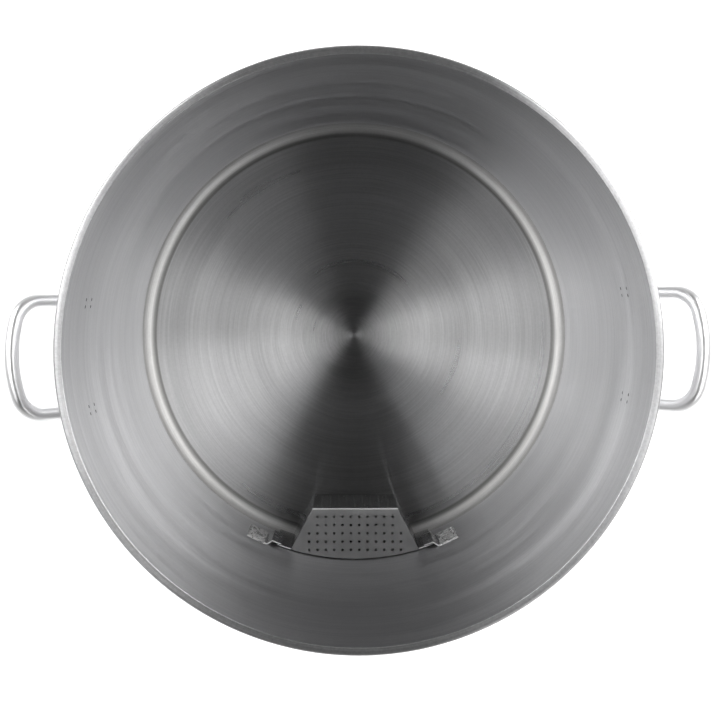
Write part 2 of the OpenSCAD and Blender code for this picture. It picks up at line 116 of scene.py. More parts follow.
# ------------------------------------------------------------------ mesh helpers
def finish_mesh(name, mesh, material, body, replaces=(), smooth_angle=35.0):
    """Links a mesh as a piece of the object, smooth-shaded but for its sharp edges."""
    mesh.validate()
    for poly in mesh.polygons:
        poly.use_smooth = True
    mesh.set_sharp_from_angle(angle=math.radians(smooth_angle))
    piece = bpy.data.objects.new(name, mesh)
    bpy.context.scene.collection.objects.link(piece)
    mesh.materials.clear()
    mesh.materials.append(material)
    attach(piece, body)
    if replaces:
        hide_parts(*replaces)
    return piece


def to_mesh(name, bm):
    bmesh.ops.recalc_face_normals(bm, faces=bm.faces)
    mesh = bpy.data.meshes.new(name)
    bm.to_mesh(mesh)
    bm.free()
    return mesh


def with_modifier(mesh, kind, **settings):
    """The mesh after one modifier, as a new mesh."""
    holder = bpy.data.objects.new("holder", mesh)
    bpy.context.scene.collection.objects.link(holder)
    modifier = holder.modifiers.new(kind, kind)
    for key, value in settings.items():
        setattr(modifier, key, value)
    depsgraph = bpy.context.evaluated_depsgraph_get()
    result = bpy.data.meshes.new_from_object(holder.evaluated_get(depsgraph), depsgraph=depsgraph)
    bpy.data.objects.remove(holder)
    return result


def arc(cx, cy, r, a0, a1, steps):
    """Points along an arc, angles in degrees."""
    return [
        (cx + r * math.cos(math.radians(a0 + (a1 - a0) * i / steps)),
         cy + r * math.sin(math.radians(a0 + (a1 - a0) * i / steps)))
        for i in range(steps + 1)
    ]


def lathe(name, outline, segments=360):
    """Turns a closed outline of (radius, height) points about the Z axis.

    Points at radius 0 become poles.
    """
    bm = bmesh.new()
    rings = []
    for r, z in outline:
        if r < 1e-7:
            rings.append([bm.verts.new((0, 0, z))])
        else:
            angles = [2 * math.pi * k / segments for k in range(segments)]
            rings.append([bm.verts.new((r * math.cos(a), r * math.sin(a), z)) for a in angles])
    for i, ring in enumerate(rings):
        after = rings[(i + 1) % len(rings)]
        if len(ring) == 1 and len(after) == 1:
            continue
        for k in range(segments):
            k2 = (k + 1) % segments
            if len(ring) == 1:
                bm.faces.new((ring[0], after[k2], after[k]))
            elif len(after) == 1:
                bm.faces.new((ring[k], ring[k2], after[0]))
            else:
                bm.faces.new((ring[k], ring[k2], after[k2], after[k]))
    return to_mesh(name, bm)


def skin(bm, rings, closed_rings=True, closed_path=False):
    """Joins equal rings of vertices with quads."""
    count = len(rings)
    for i in range(count if closed_path else count - 1):
        a, b = rings[i], rings[(i + 1) % count]
        for k in range(len(a) if closed_rings else len(a) - 1):
            k2 = (k + 1) % len(a)
            bm.faces.new((a[k], a[k2], b[k2], b[k]))


# ------------------------------------------------------------------ materials
def new_material(name):
    material = bpy.data.materials.new(name)
    material.use_nodes = True
    tree = material.node_tree
    return material, tree, tree.nodes["Principled BSDF"]


def math_node(tree, operation, a, b=None):
    node = tree.nodes.new("ShaderNodeMath")
    node.operation = operation
    for socket, value in zip(node.inputs, (a, b)):
        if isinstance(value, (int, float)):
            socket.default_value = value
        elif value is not None:
            tree.links.new(value, socket)
    return node.outputs[0]


def times(tree, a, b):
    return math_node(tree, "MULTIPLY", a, b)


def noise(tree, vector, scale, detail, rough):
    node = tree.nodes.new("ShaderNodeTexNoise")
    node.inputs["Scale"].default_value = scale
    node.inputs["Detail"].default_value = detail
    node.inputs["Roughness"].default_value = rough
    tree.links.new(vector, node.inputs["Vector"])
    return node.outputs["Fac"]


def spread(tree, value, low, high, out_low, out_high, smooth=False):
    """Maps the range low to high onto out_low to out_high, and holds the ends beyond it."""
    node = tree.nodes.new("ShaderNodeMapRange")
    if smooth:
        node.interpolation_type = "SMOOTHSTEP"
    node.inputs["From Min"].default_value = low
    node.inputs["From Max"].default_value = high
    node.inputs["To Min"].default_value = out_low
    node.inputs["To Max"].default_value = out_high
    tree.links.new(value, node.inputs["Value"])
    return node.outputs[0]


def bell(tree, value, centre, half_width, depth):
    """1 away from centre, 1 - depth at it."""
    off = math_node(tree, "ABSOLUTE", math_node(tree, "SUBTRACT", value, centre))
    return spread(tree, off, 0, half_width, 1 - depth, 1, smooth=True)


SMALLEST_R = 0.002       # keeps the middle of the floor from a division by nothing


def round_coordinates(tree, around, across, use_height):
    """Coordinates that change fast across the brush lines and slowly along them, with no seam."""
    coords = tree.nodes.new("ShaderNodeTexCoord")
    parts = tree.nodes.new("ShaderNodeSeparateXYZ")
    tree.links.new(coords.outputs["Object"], parts.inputs[0])
    x, y, z = parts.outputs
    radius = math_node(tree, "SQRT", math_node(tree, "ADD", times(tree, x, x), times(tree, y, y)))
    safe = math_node(tree, "MAXIMUM", radius, SMALLEST_R)
    joined = tree.nodes.new("ShaderNodeCombineXYZ")
    for part, socket in ((x, joined.inputs[0]), (y, joined.inputs[1])):
        tree.links.new(times(tree, math_node(tree, "DIVIDE", part, safe), around), socket)
    tree.links.new(times(tree, z if use_height else radius, across), joined.inputs[2])
    return joined.outputs[0], radius, z


def mix_color(tree, factor, dark, light):
    """A colour between two fixed colours."""
    node = tree.nodes.new("ShaderNodeMix")
    node.data_type = "RGBA"
    node.inputs["A"].default_value = (*dark, 1)
    node.inputs["B"].default_value = (*light, 1)
    tree.links.new(factor, node.inputs["Factor"])
    return node.outputs["Result"]


def scale_color(tree, color, factor):
    node = tree.nodes.new("ShaderNodeVectorMath")
    node.operation = "SCALE"
    tree.links.new(color, node.inputs[0])
    tree.links.new(factor, node.inputs["Scale"])
    return node.outputs[0]


def bump(tree, bsdf, height, strength, distance):
    node = tree.nodes.new("ShaderNodeBump")
    node.inputs["Strength"].default_value = strength
    node.inputs["Distance"].default_value = distance
    tree.links.new(height, node.inputs["Height"])
    tree.links.new(node.outputs["Normal"], bsdf.inputs["Normal"])


ANISO_TURN = 0.25        # turns the brushing along the circles
LINE_CHANGE = 1.6        # how fast the fine lines change along a circle
BAND_CHANGE = 0.5        # the same for the wide bands
BAND_LINES = 12          # a band is as wide as this many lines
LINE_SHARE, BAND_SHARE = 0.82, 0.18
PATCH_SCALE = 420


def turned_steel(name, use_height, dark, light, rough, anisotropy, line=900.0, shade=None,
                 extra_rough=None, metal=1.0, mottle=0.03):
    """Sheet brushed in circles about the pot's axis."""
    material, tree, bsdf = new_material(name)
    bsdf.inputs["Anisotropic"].default_value = anisotropy
    bsdf.inputs["Anisotropic Rotation"].default_value = ANISO_TURN
    tangent = tree.nodes.new("ShaderNodeTangent")
    tangent.direction_type = "RADIAL"
    tangent.axis = "Z"
    tree.links.new(tangent.outputs[0], bsdf.inputs["Tangent"])
    fine, radius, z = round_coordinates(tree, LINE_CHANGE, line, use_height)
    wide, _, _ = round_coordinates(tree, BAND_CHANGE, line / BAND_LINES, use_height)
    lines = noise(tree, fine, 1.0, 2, 0.6)
    bands = noise(tree, wide, 1.0, 2, 0.5)
    both = math_node(tree, "ADD", times(tree, lines, LINE_SHARE), times(tree, bands, BAND_SHARE))
    color = mix_color(tree, spread(tree, both, 0.36, 0.64, 0, 1), dark, light)
    if shade:
        color = scale_color(tree, color, shade(tree, radius, z))
    coords = tree.nodes.new("ShaderNodeTexCoord")
    patches = noise(tree, coords.outputs["Object"], PATCH_SCALE, 3, 0.6)
    color = scale_color(tree, color, spread(tree, patches, 0.35, 0.65, 1 - mottle, 1 + mottle))
    tree.links.new(color, bsdf.inputs["Base Color"])
    bsdf.inputs["Metallic"].default_value = metal
    roughness = spread(tree, bands, 0.3, 0.7, rough[0], rough[1])
    if extra_rough:
        roughness = math_node(tree, "ADD", roughness, extra_rough(tree, radius, z))
    tree.links.new(roughness, bsdf.inputs["Roughness"])
    return material


def plain_steel(name, dark, light, rough, grain=60.0, stretch=(1, 1, 1), depth=0.00003,
                strength=0.2, metal=1.0, specks=0.0):
    """Metal, or plastic when metal is 0, with a grain that follows the object's own axes."""
    material, tree, bsdf = new_material(name)
    bsdf.inputs["Metallic"].default_value = metal
    coords = tree.nodes.new("ShaderNodeTexCoord")
    mapping = tree.nodes.new("ShaderNodeMapping")
    mapping.inputs["Scale"].default_value = stretch
    tree.links.new(coords.outputs["Object"], mapping.inputs["Vector"])
    grainy = noise(tree, mapping.outputs[0], grain, 5, 0.6)
    smudge = noise(tree, mapping.outputs[0], grain / 10, 3, 0.5)
    color = mix_color(tree, spread(tree, smudge, 0.3, 0.7, 0, 1), dark, light)
    if specks:
        pits = noise(tree, mapping.outputs[0], grain * 1.3, 2, 0.5)
        color = scale_color(tree, color, spread(tree, pits, 0.55, 0.61, 1, 1 - specks))
    tree.links.new(color, bsdf.inputs["Base Color"])
    tree.links.new(spread(tree, grainy, 0.3, 0.7, rough[0], rough[1]), bsdf.inputs["Roughness"])
    bump(tree, bsdf, grainy, strength, depth)
    return material


PAINTED_SHADE_LINE_R = 0.2372   # painted shade: a dark line where the floor turns into its corner


def floor_shade(tree, radius, z):
    """Greyer middle and edge, and a line of painted shade round the floor."""
    middle = spread(tree, radius, 0.01, 0.09, 0.42, 1, smooth=True)
    edge = spread(tree, radius, 0.17, 0.23, 1, 0.84, smooth=True)
    return times(tree, times(tree, middle, edge), bell(tree, radius, PAINTED_SHADE_LINE_R, 0.0028, 0.38))


def floor_rough(tree, radius, z):
    """Duller middle, where the brush lines are tightest."""
    return spread(tree, radius, 0.01, 0.05, 0.22, 0, smooth=True)


def corner_painted_light(tree, radius, z):
    """Polished ring in painted light: painted shade where it leaves the floor, a painted reflection
    of the bright wall higher up, and greyer at the seam, partly its dark joint and partly painted
    shade.
    """
    ramp = tree.nodes.new("ShaderNodeValToRGB")
    stops = ((0.0, 0.5), (0.12, 0.28), (0.3, 0.4), (0.5, 0.8), (0.7, 0.95), (0.9, 0.88),
             (0.97, 0.75), (1.0, 0.75))
    for place, value in stops[1:-1]:
        ramp.color_ramp.elements.new(place)
    for element, (place, value) in zip(ramp.color_ramp.elements, stops):
        element.position = place
        element.color = (value, value, value, 1)
    tree.links.new(spread(tree, radius, INNER_R - CORNER_R, INNER_R, 0, 1), ramp.inputs[0])
    return ramp.outputs[0]


def wall_shade(tree, radius, z):
    """Slightly bright band just above the seam."""
    return spread(tree, z, 0.03, 0.075, 1.08, 1, smooth=True)


def grey(level):
    return (level, level, level)


MATERIALS = {
    "wall_steel": turned_steel(
        "wall_steel", True, (0.58, 0.58, 0.59), (0.66, 0.66, 0.67), (0.28, 0.36), 0.95, 260.0,
        shade=wall_shade),
    "floor_steel": turned_steel(
        "floor_steel", False, grey(0.51), grey(0.60), (0.27, 0.33), 0.98, 700.0,
        shade=floor_shade, extra_rough=floor_rough),
    "cap_steel": turned_steel(
        "cap_steel", False, grey(0.45), grey(0.56), (0.35, 0.45), 0.0),
    "handle_steel": plain_steel(
        "handle_steel", (0.86, 0.86, 0.865), (0.93, 0.93, 0.935), (0.28, 0.36), 90, metal=0.93),
    "fitting_steel": plain_steel(
        "fitting_steel", (0.55, 0.55, 0.56), (0.68, 0.68, 0.69), (0.18, 0.3)),
    "cast_steel": plain_steel(
        "cast_steel", grey(0.5), grey(0.6), (0.38, 0.52), 900, depth=0.00012),
    "sheet_steel": plain_steel(
        "sheet_steel", grey(0.36), grey(0.43), (0.36, 0.46), 500),
    "rail_steel": plain_steel(
        "rail_steel", (0.6, 0.6, 0.61), (0.72, 0.72, 0.73), (0.18, 0.3), 200),
    "lever_steel": plain_steel(
        "lever_steel", (0.58, 0.58, 0.6), (0.68, 0.68, 0.7), (0.2, 0.32), 300, (0.1, 1, 1)),
    "weld_steel": plain_steel(
        "weld_steel", (0.65, 0.645, 0.64), (1, 1, 0.99), (0.15, 0.3), 170, depth=0.0016,
        strength=0.8, metal=0.35, specks=0.85),
    "polished_steel": plain_steel(
        "polished_steel", (0.7, 0.7, 0.71), (0.8, 0.8, 0.81), (0.05, 0.12)),
    "core_aluminium": plain_steel(
        "core_aluminium", (0.7, 0.7, 0.72), (0.8, 0.8, 0.82), (0.35, 0.5)),
    "gasket_silicone": plain_steel(
        "gasket_silicone", grey(0.03), grey(0.06), (0.5, 0.65), metal=0),
    "seat_plastic": plain_steel(
        "seat_plastic", (0.82, 0.82, 0.8), (0.9, 0.9, 0.88), (0.35, 0.5), metal=0),
    "grip_vinyl": plain_steel(
        "grip_vinyl", (0.02, 0.02, 0.022), (0.035, 0.035, 0.04), (0.42, 0.6), 700, metal=0),
}
# second materials for parts of a piece
# near-black steel on the weld craters: painted shade in them
SPOT_SHADE_STEEL = plain_steel("spot_painted_shade", grey(0.05), grey(0.32), (0.3, 0.5), 900, depth=0.0002)
SKIRT_STEEL = plain_steel("skirt_steel", grey(0.42), grey(0.5), (0.2, 0.28), 500, (1, 1, 0.1))
# near-white, mostly diffuse steel: a painted highlight for the top edges of the strainer and the
# rails
EDGE_HIGHLIGHT_STEEL = plain_steel("edge_painted_highlight", grey(0.8), grey(0.95), (0.3, 0.5), 400, metal=0.3)
# polished corner ring, its colour carrying painted shade and a painted reflection
CORNER_STEEL = turned_steel(
    "corner_steel", False, (0.66, 0.655, 0.64), (0.78, 0.775, 0.76), (0.36, 0.44), 0.9,
    shade=corner_painted_light)
RIM_STEEL = turned_steel(
    "rim_steel", False, (0.36, 0.36, 0.365), (0.47, 0.47, 0.475), (0.3, 0.4), 0.9, 900.0,
    metal=0.9, mottle=0.1)
for row in frame["record"]["subparts"]:
    mesh = frame["nodes"][row["node"]].data
    mesh.materials.clear()
    mesh.materials.append(MATERIALS[row["material_slot"]])


# ------------------------------------------------------------------ pot
def wall_outline():
    """Outline of the wall sheet: up the inside, round the rim's curl and down the outside."""
    r0, r1, low = INNER_R, OUTER_R, WALL_LO[2]
    top, out, rr = RIM_Z, RIM_R, RIM_ROUND
    inner_rr = rr - WALL_T + SPLIT
    inside = [(r0, low + (top - rr - low) * i / HEIGHT_STEPS) for i in range(HEIGHT_STEPS)]
    crisp = RIM_EDGE
    crown = arc(r0 + crisp, top - crisp, crisp, 180, 90, 6) + arc(out - rr, top - rr, rr, 90, 0, 8)
    under = arc(out - rr, top - RIM_H + rr, rr, 0, -90, 8) + [(r1 + CURL_GAP, top - RIM_H)]
    hollow_low = top - RIM_H + WALL_T
    hollow_r = out - WALL_T
    back = [(r1 + CURL_GAP, hollow_low)]
    back += arc(hollow_r - inner_rr, hollow_low + inner_rr, inner_rr, -90, 0, 4)
    back += arc(hollow_r - inner_rr, top - WALL_T - inner_rr, inner_rr, 0, 90, 4)
    back += arc(r1 + inner_rr, top - WALL_T - inner_rr, inner_rr, 90, 180, 4)
    wall_h = top - RIM_H - low
    outside = [(r1, top - RIM_H - wall_h * i / HEIGHT_STEPS) for i in range(HEIGHT_STEPS + 1)]
    return inside + crown + under + back + outside


TAP_HOLE_PLAY = 0.0003
TAP_CUTTER_DEPTH = 0.05


def cut_tap_hole(mesh):
    """The wall with the tap's round hole through it."""
    tap_z = (NIPPLE_LO[2] + NIPPLE_HI[2]) / 2
    hole_r = (NIPPLE_HI[0] - NIPPLE_LO[0]) / 2 + TAP_HOLE_PLAY
    bm = bmesh.new()
    bmesh.ops.create_cone(bm, cap_ends=True, segments=64, radius1=hole_r, radius2=hole_r,
                          depth=TAP_CUTTER_DEPTH)
    bmesh.ops.rotate(bm, verts=bm.verts, matrix=Matrix.Rotation(math.pi / 2, 3, "X"))
    bmesh.ops.translate(bm, verts=bm.verts, vec=(0, -INNER_R, tap_z))
    cutter = bpy.data.objects.new("cutter", to_mesh("cutter", bm))
    bpy.context.scene.collection.objects.link(cutter)
    result = with_modifier(mesh, "BOOLEAN", object=cutter, operation="DIFFERENCE", solver="EXACT")
    bpy.data.objects.remove(cutter)
    return result


wall_mesh = cut_tap_hole(lathe("kettle_wall_mesh", wall_outline(), ROUND_STEPS))
pot_wall = finish_mesh("pot_wall", wall_mesh, MATERIALS["wall_steel"], "kettle",
                       ["kettle_wall"])
pot_wall.data.materials.append(RIM_STEEL)
for poly in pot_wall.data.polygons:
    middle = poly.center
    curled = math.hypot(middle.x, middle.y) > OUTER_R + SPLIT
    if curled or middle.z > RIM_Z - RIM_EDGE * 0.9:
        poly.material_index = 1

# the pressed pan, in two pieces: its flat floor and its round corner
FLOOR_RINGS = 12
floor_r = INNER_R - CORNER_R
pan_outline = [(0, FLOOR_Z)]
pan_outline += [(floor_r * i / FLOOR_RINGS, FLOOR_Z) for i in range(1, FLOOR_RINGS + 1)]
pan_outline += [(floor_r, PAN_LO[2])] + [(0, PAN_LO[2])]
finish_mesh("pot_floor", lathe("pot_floor_mesh", pan_outline, ROUND_STEPS),
            MATERIALS["floor_steel"], "kettle", ["bottom_pan"])
corner_outline = arc(floor_r, FLOOR_Z + CORNER_R, CORNER_R, -90, 0, 20)
corner_outline += [(INNER_R, PAN_HI[2]), (OUTER_R, PAN_HI[2])]
corner_outline += arc(floor_r, FLOOR_Z + CORNER_R, CORNER_R + WALL_T, 0, -90, 16)
finish_mesh("pot_corner", lathe("pot_corner_mesh", corner_outline, ROUND_STEPS), CORNER_STEEL,
            "kettle", ["bottom_pan"])


# ------------------------------------------------------------------ handles
TILT = math.atan2(GRIP_RISE, GRIP_RUN)
LEG_DIRECTION = Vector((math.cos(TILT), 0, math.sin(TILT)))
HANDLE_NORMAL = Vector((-math.sin(TILT), 0, math.cos(TILT)))
HANDLE_ORIGIN = Vector((FOOT_R, 0, FOOT_Z))
GRIP_X = math.hypot(GRIP_RUN, GRIP_RISE)
BEND_X = GRIP_X - BOW_R + (BOW_R - BEND_R) * BOW_DX - JOIN * BOW_DY
BEND_Y = (BOW_R - BEND_R) * BOW_DY + JOIN * BOW_DX
LEG_Y = BEND_Y + BEND_R
LEG_STEPS = 6
ROD_SINK = 0.0002        # how far the rod's ends reach into its plates
BEAD_R = 0.0021
BEAD_OFFSET = 0.0006     # from the rod's surface to the middle of its bead
BEAD_RIPPLES = 22


def handle_point(x, y):
    """A point of the handle's own plane: x outwards from the feet, y along the wall."""
    return HANDLE_ORIGIN + LEG_DIRECTION * x + Vector((0, y, 0))


def onto_cylinder(point, direction, radius):
    """Moves a point along a direction until it lies on a cylinder about the pot's axis."""
    a = direction.x ** 2 + direction.y ** 2
    b = point.x * direction.x + point.y * direction.y
    c = point.x ** 2 + point.y ** 2 - radius ** 2
    return point + direction * ((-b + math.sqrt(max(b * b - a * c, 0))) / a)


def handle_line():
    """Centre line of the rod in its own plane."""
    half = math.degrees(math.asin(BOW_DY))
    side = [(BEND_X * i / LEG_STEPS, LEG_Y) for i in range(LEG_STEPS)]
    side += arc(BEND_X, BEND_Y, BEND_R, 90, half, 20)
    bow = arc(GRIP_X - BOW_R, 0, BOW_R, half, -half, 28)
    return side + bow + [(x, -y) for x, y in reversed(side)]


def rod_mesh(turn, segments=40):
    bm = bmesh.new()
    line = [handle_point(x, y) for x, y in handle_line()]
    spin = Matrix.Rotation(turn, 3, "Z")
    rings = []
    for i, point in enumerate(line):
        tangent = (line[min(i + 1, len(line) - 1)] - line[max(i - 1, 0)]).normalized()
        side = tangent.cross(HANDLE_NORMAL)
        ring = []
        for k in range(segments):
            a = 2 * math.pi * k / segments
            spot = point + (side * math.cos(a) + HANDLE_NORMAL * math.sin(a)) * ROD_R
            if i in (0, len(line) - 1):
                spot = onto_cylinder(spot, LEG_DIRECTION, FOOT_R - ROD_SINK)
            ring.append(bm.verts.new(spin @ spot))
        rings.append(ring)
    skin(bm, rings)
    bm.faces.new(rings[0])
    bm.faces.new(rings[-1])
    return to_mesh("rod", bm)


def bead_mesh(turn, steps=110, section=10):
    """Rippled beads round both ends of a rod, where it meets its plates."""
    bm = bmesh.new()
    spin = Matrix.Rotation(turn, 3, "Z")
    for leg in (-1, 1):
        axis = handle_point(0, leg * LEG_Y)
        rings = []
        for i in range(steps):
            a = 2 * math.pi * i / steps
            away = Vector((0, math.cos(a), 0)) + HANDLE_NORMAL * math.sin(a)
            lumps = field.noise(Vector((3 * math.cos(a), 3 * math.sin(a), leg)))
            ripple = 1 + 0.09 * math.sin(BEAD_RIPPLES * a) + 0.1 * lumps
            foot = onto_cylinder(axis + away * (ROD_R + BEAD_OFFSET), LEG_DIRECTION, FOOT_R + SPLIT)
            out = Vector((foot.x, foot.y, 0)).normalized()
            flat = (away - out * away.dot(out)).normalized()
            ring = []
            for k in range(section):
                b = 2 * math.pi * k / section
                off = (flat * math.cos(b) + out * math.sin(b)) * BEAD_R * ripple
                ring.append(bm.verts.new(spin @ (foot + off)))
            rings.append(ring)
        skin(bm, rings, closed_path=True)
    return to_mesh("beads", bm)


for side_name, turn in HANDLE_TURN.items():
    finish_mesh(f"rod_{side_name}", rod_mesh(turn), MATERIALS["handle_steel"], "kettle",
                [f"handle_{side_name}"])
    finish_mesh(f"foot_beads_{side_name}", bead_mesh(turn), MATERIALS["weld_steel"], "kettle",
                ["handle_welds"])


# a crater's raised ring, from the middle outwards, as (radius, height above the wall)
CRATER = ((0.0008, 0.00006), (0.0012, 0.00024), (0.0016, 0.0), (0.0016, -0.0002))
CRATER_SIDES = 24


def add_crater(bm, spin, y, z):
    rings = []
    for r, height in CRATER:
        ring = []
        for k in range(CRATER_SIDES):
            a = 2 * math.pi * k / CRATER_SIDES
            yy = y + r * math.cos(a)
            x = math.sqrt((INNER_R - height) ** 2 - yy * yy)
            ring.append(bm.verts.new(spin @ Vector((x, yy, z + r * math.sin(a)))))
        rings.append(ring)
    skin(bm, rings)
    bm.faces.new(rings[0])
    bm.faces.new(rings[-1])


def spot_mesh():
    """Small pressed craters of the resistance welds inside the wall, four behind each leg."""
    bm = bmesh.new()
    for turn in SPOT_TURN.values():
        spin = Matrix.Rotation(turn, 3, "Z")
        for leg in (-1, 1):
            for dy in (-0.5, 0.5):
                for dz in (-0.5, 0.5):
                    add_crater(bm, spin, leg * SPOT_GAP / 2 + dy * SPOT_DY, FOOT_Z + dz * SPOT_DZ)
    return to_mesh("spots", bm)


finish_mesh("spot_marks", spot_mesh(), SPOT_SHADE_STEEL, "kettle", ["spot_welds"], 20)


# ------------------------------------------------------------------ strainer
def around(r, degrees, z):
    """A point on a circle about the pot's axis, its angle measured from -Y towards +X."""
    return Vector((r * math.sin(math.radians(degrees)), -r * math.cos(math.radians(degrees)), z))


def rounded_path(points, radii, steps=6):
    """A polyline with each inner corner replaced by an arc."""
    result = [Vector(points[0])]
    for i in range(1, len(points) - 1):
        here, before, after = Vector(points[i]), Vector(points[i - 1]), Vector(points[i + 1])
        d0, d1 = (before - here).normalized(), (after - here).normalized()
        half = d0.angle(d1) / 2
        cut = radii[i - 1] / math.tan(half)
        centre = here + (d0 + d1).normalized() * (radii[i - 1] / math.sin(half))
        start, end = here + d0 * cut, here + d1 * cut
        for k in range(steps + 1):
            f = k / steps
            spot = start.lerp(end, f) - centre
            result.append(centre + spot.normalized() * radii[i - 1])
    result.append(Vector(points[-1]))
    return result


CORNER_GAP = 0.0006      # between the strainer's lower edge and the pot's corner


def bottom_height(x, y):
    """Lower edge of the strainer: just above the floor and its corner."""
    over = math.hypot(x, y) - (INNER_R - CORNER_R)
    if over <= 0:
        return STRAINER_LOW
    room = CORNER_R - CORNER_GAP
    return max(STRAINER_LOW, FLOOR_Z + CORNER_R - math.sqrt(max(room ** 2 - over ** 2, 0)))


BEND_TOP = 0.0018        # radius of the bend between top plate and skirt
BEND_SIDE = 0.0022       # radius of the skirt's front corners
SKIRT_STEPS = 10
FLANGE_STEPS = 8
FLANGE_REACH = 1.003     # the flange's lower edge is set by the room a little further out
REAR_STEPS = 48
REAR_OVERLAP = 0.35      # degrees by which the top plate's rear edge runs past its sides
MERGE = 2e-6
SHOULDER_Z = STRAINER_TOP - BEND_TOP
REAR = around(FLANGE_R - SHEET, REAR_ANGLE, 0).to_2d()


def skirt_plan():
    """Plan of the folded skirt, from one front corner back to the wall."""
    corner = rounded_path([(0, -FRONT_Y), (FRONT_HALF, -FRONT_Y), REAR], [BEND_SIDE])[1:-1]
    return corner + [corner[-1].lerp(REAR, i / SKIRT_STEPS) for i in range(1, SKIRT_STEPS + 1)]


SKIRT = skirt_plan()
FRONT_X = SKIRT[0].x


def inward(i):
    """Direction from point i of the skirt in under the top plate."""
    if i == 0:
        return Vector((0, -1))
    d = (SKIRT[min(i + 1, len(SKIRT) - 1)] - SKIRT[i - 1]).normalized()
    normal = Vector((d.y, -d.x))
    return normal if normal.x <= 0 else -normal


def upright(bm, x, y, low, high):
    """A column of vertices from one height to another."""
    return [bm.verts.new((x, y, low + (high - low) * k / HEIGHT_STEPS))
            for k in range(HEIGHT_STEPS + 1)]


def bend_angles(first):
    return [math.pi / 2 * k / BEND_STEPS for k in range(first, BEND_STEPS + 1)]


def add_skirt(bm, mirror):
    columns = []
    for i, p in enumerate(SKIRT):
        column = upright(bm, mirror * p.x, p.y, bottom_height(p.x, p.y), SHOULDER_Z)
        for a in bend_angles(1):
            q = p + inward(i) * BEND_TOP * (1 - math.cos(a))
            column.append(bm.verts.new((mirror * q.x, q.y, SHOULDER_Z + BEND_TOP * math.sin(a))))
        columns.append(column)
    skin(bm, columns, closed_rings=False)


def add_flange(bm, mirror):
    """Strip along the wall, on from the skirt's rear edge."""
    columns = []
    for i in range(FLANGE_STEPS + 1):
        p = around(FLANGE_R, REAR_ANGLE + (FLANGE_ANGLE - REAR_ANGLE) * i / FLANGE_STEPS, 0)
        low = bottom_height(p.x * FLANGE_REACH, p.y * FLANGE_REACH)
        columns.append(upright(bm, mirror * p.x, p.y, low, STRAINER_TOP))
    skin(bm, columns, closed_rings=False)


def circle(u, v):
    return [(u + HOLE_R * math.cos(2 * math.pi * k / HOLE_SIDES),
             v + HOLE_R * math.sin(2 * math.pi * k / HOLE_SIDES)) for k in range(HOLE_SIDES)]


def add_plate(bm, outline, holes, place):
    """Flat sheet with round holes, laid out in a plane and then put in place."""
    points, edges = [], []
    for loop in [outline] + holes:
        start = len(points)
        points += [Vector(p) for p in loop]
        edges += [(start + k, start + (k + 1) % len(loop)) for k in range(len(loop))]
    flat, _, faces, _, _, _ = delaunay_2d_cdt(points, edges, [], 1, 1e-7)
    centres = [sum((Vector(p) for p in loop), Vector((0, 0))) / len(loop) for loop in holes]
    verts = [bm.verts.new(place(p.x, p.y)) for p in flat]
    for face in faces:
        middle = sum((flat[i] for i in face), Vector((0, 0))) / len(face)
        # the triangulation fills the holes too: leave out what lies within one
        if min((middle - c).length for c in centres) > HOLE_R * 0.97:
            bm.faces.new([verts[i] for i in face])


def add_front(bm):
    """Perforated front panel, and the rounded edge between it and the top."""
    heights = [STRAINER_LOW + (SHOULDER_Z - STRAINER_LOW) * k / HEIGHT_STEPS
               for k in range(HEIGHT_STEPS + 1)]
    outline = [(FRONT_X, z) for z in heights] + [(-FRONT_X, z) for z in reversed(heights)]
    holes = [circle((c - (FRONT_COLUMNS - 1) / 2) * HOLE_PITCH,
                    FLOOR_Z + FRONT_FIRST + row * HOLE_PITCH)
             for row in range(FRONT_ROWS) for c in range(FRONT_COLUMNS)]
    add_plate(bm, outline, holes, lambda u, v: (u, -FRONT_Y, v))
    rings = []
    for a in bend_angles(0):
        y = -FRONT_Y - BEND_TOP * (1 - math.cos(a))
        z = SHOULDER_Z + BEND_TOP * math.sin(a)
        rings.append([bm.verts.new((side * FRONT_X, y, z)) for side in (-1, 1)])
    skin(bm, rings, closed_rings=False)


def add_top(bm):
    """Perforated top plate, whose rear edge follows the wall."""
    inner = [p + inward(i) * BEND_TOP for i, p in enumerate(SKIRT)]
    end_angle = math.degrees(math.atan2(inner[-1].x, -inner[-1].y)) + REAR_OVERLAP
    rear_arc = [around(FLANGE_R, end_angle - 2 * end_angle * i / REAR_STEPS, 0)
                for i in range(REAR_STEPS + 1)]
    outline = [(p.x, p.y) for p in inner] + [(p.x, p.y) for p in rear_arc]
    outline += [(-p.x, p.y) for p in reversed(inner)]
    holes = [circle((c - (columns - 1) / 2) * HOLE_PITCH, -FRONT_Y - TOP_FIRST - row * HOLE_PITCH)
             for row, columns in enumerate(TOP_ROWS) for c in range(columns)]
    add_plate(bm, outline, holes, lambda u, v: (u, v, STRAINER_TOP))


def build_strainer():
    """The whole folded sheet as one surface, thickened away from its outside."""
    bm = bmesh.new()
    for mirror in (1, -1):
        add_skirt(bm, mirror)
        add_flange(bm, mirror)
    add_front(bm)
    add_top(bm)
    bmesh.ops.remove_doubles(bm, verts=bm.verts, dist=MERGE)
    mesh = to_mesh("strainer_sheet", bm)
    # the top plate has to face up, so that the sheet thickens downwards and inwards
    if sum(p.normal.z for p in mesh.polygons if abs(p.normal.z) > 0.9) < 0:
        mesh.flip_normals()
    return with_modifier(mesh, "SOLIDIFY", thickness=SHEET, offset=-1)
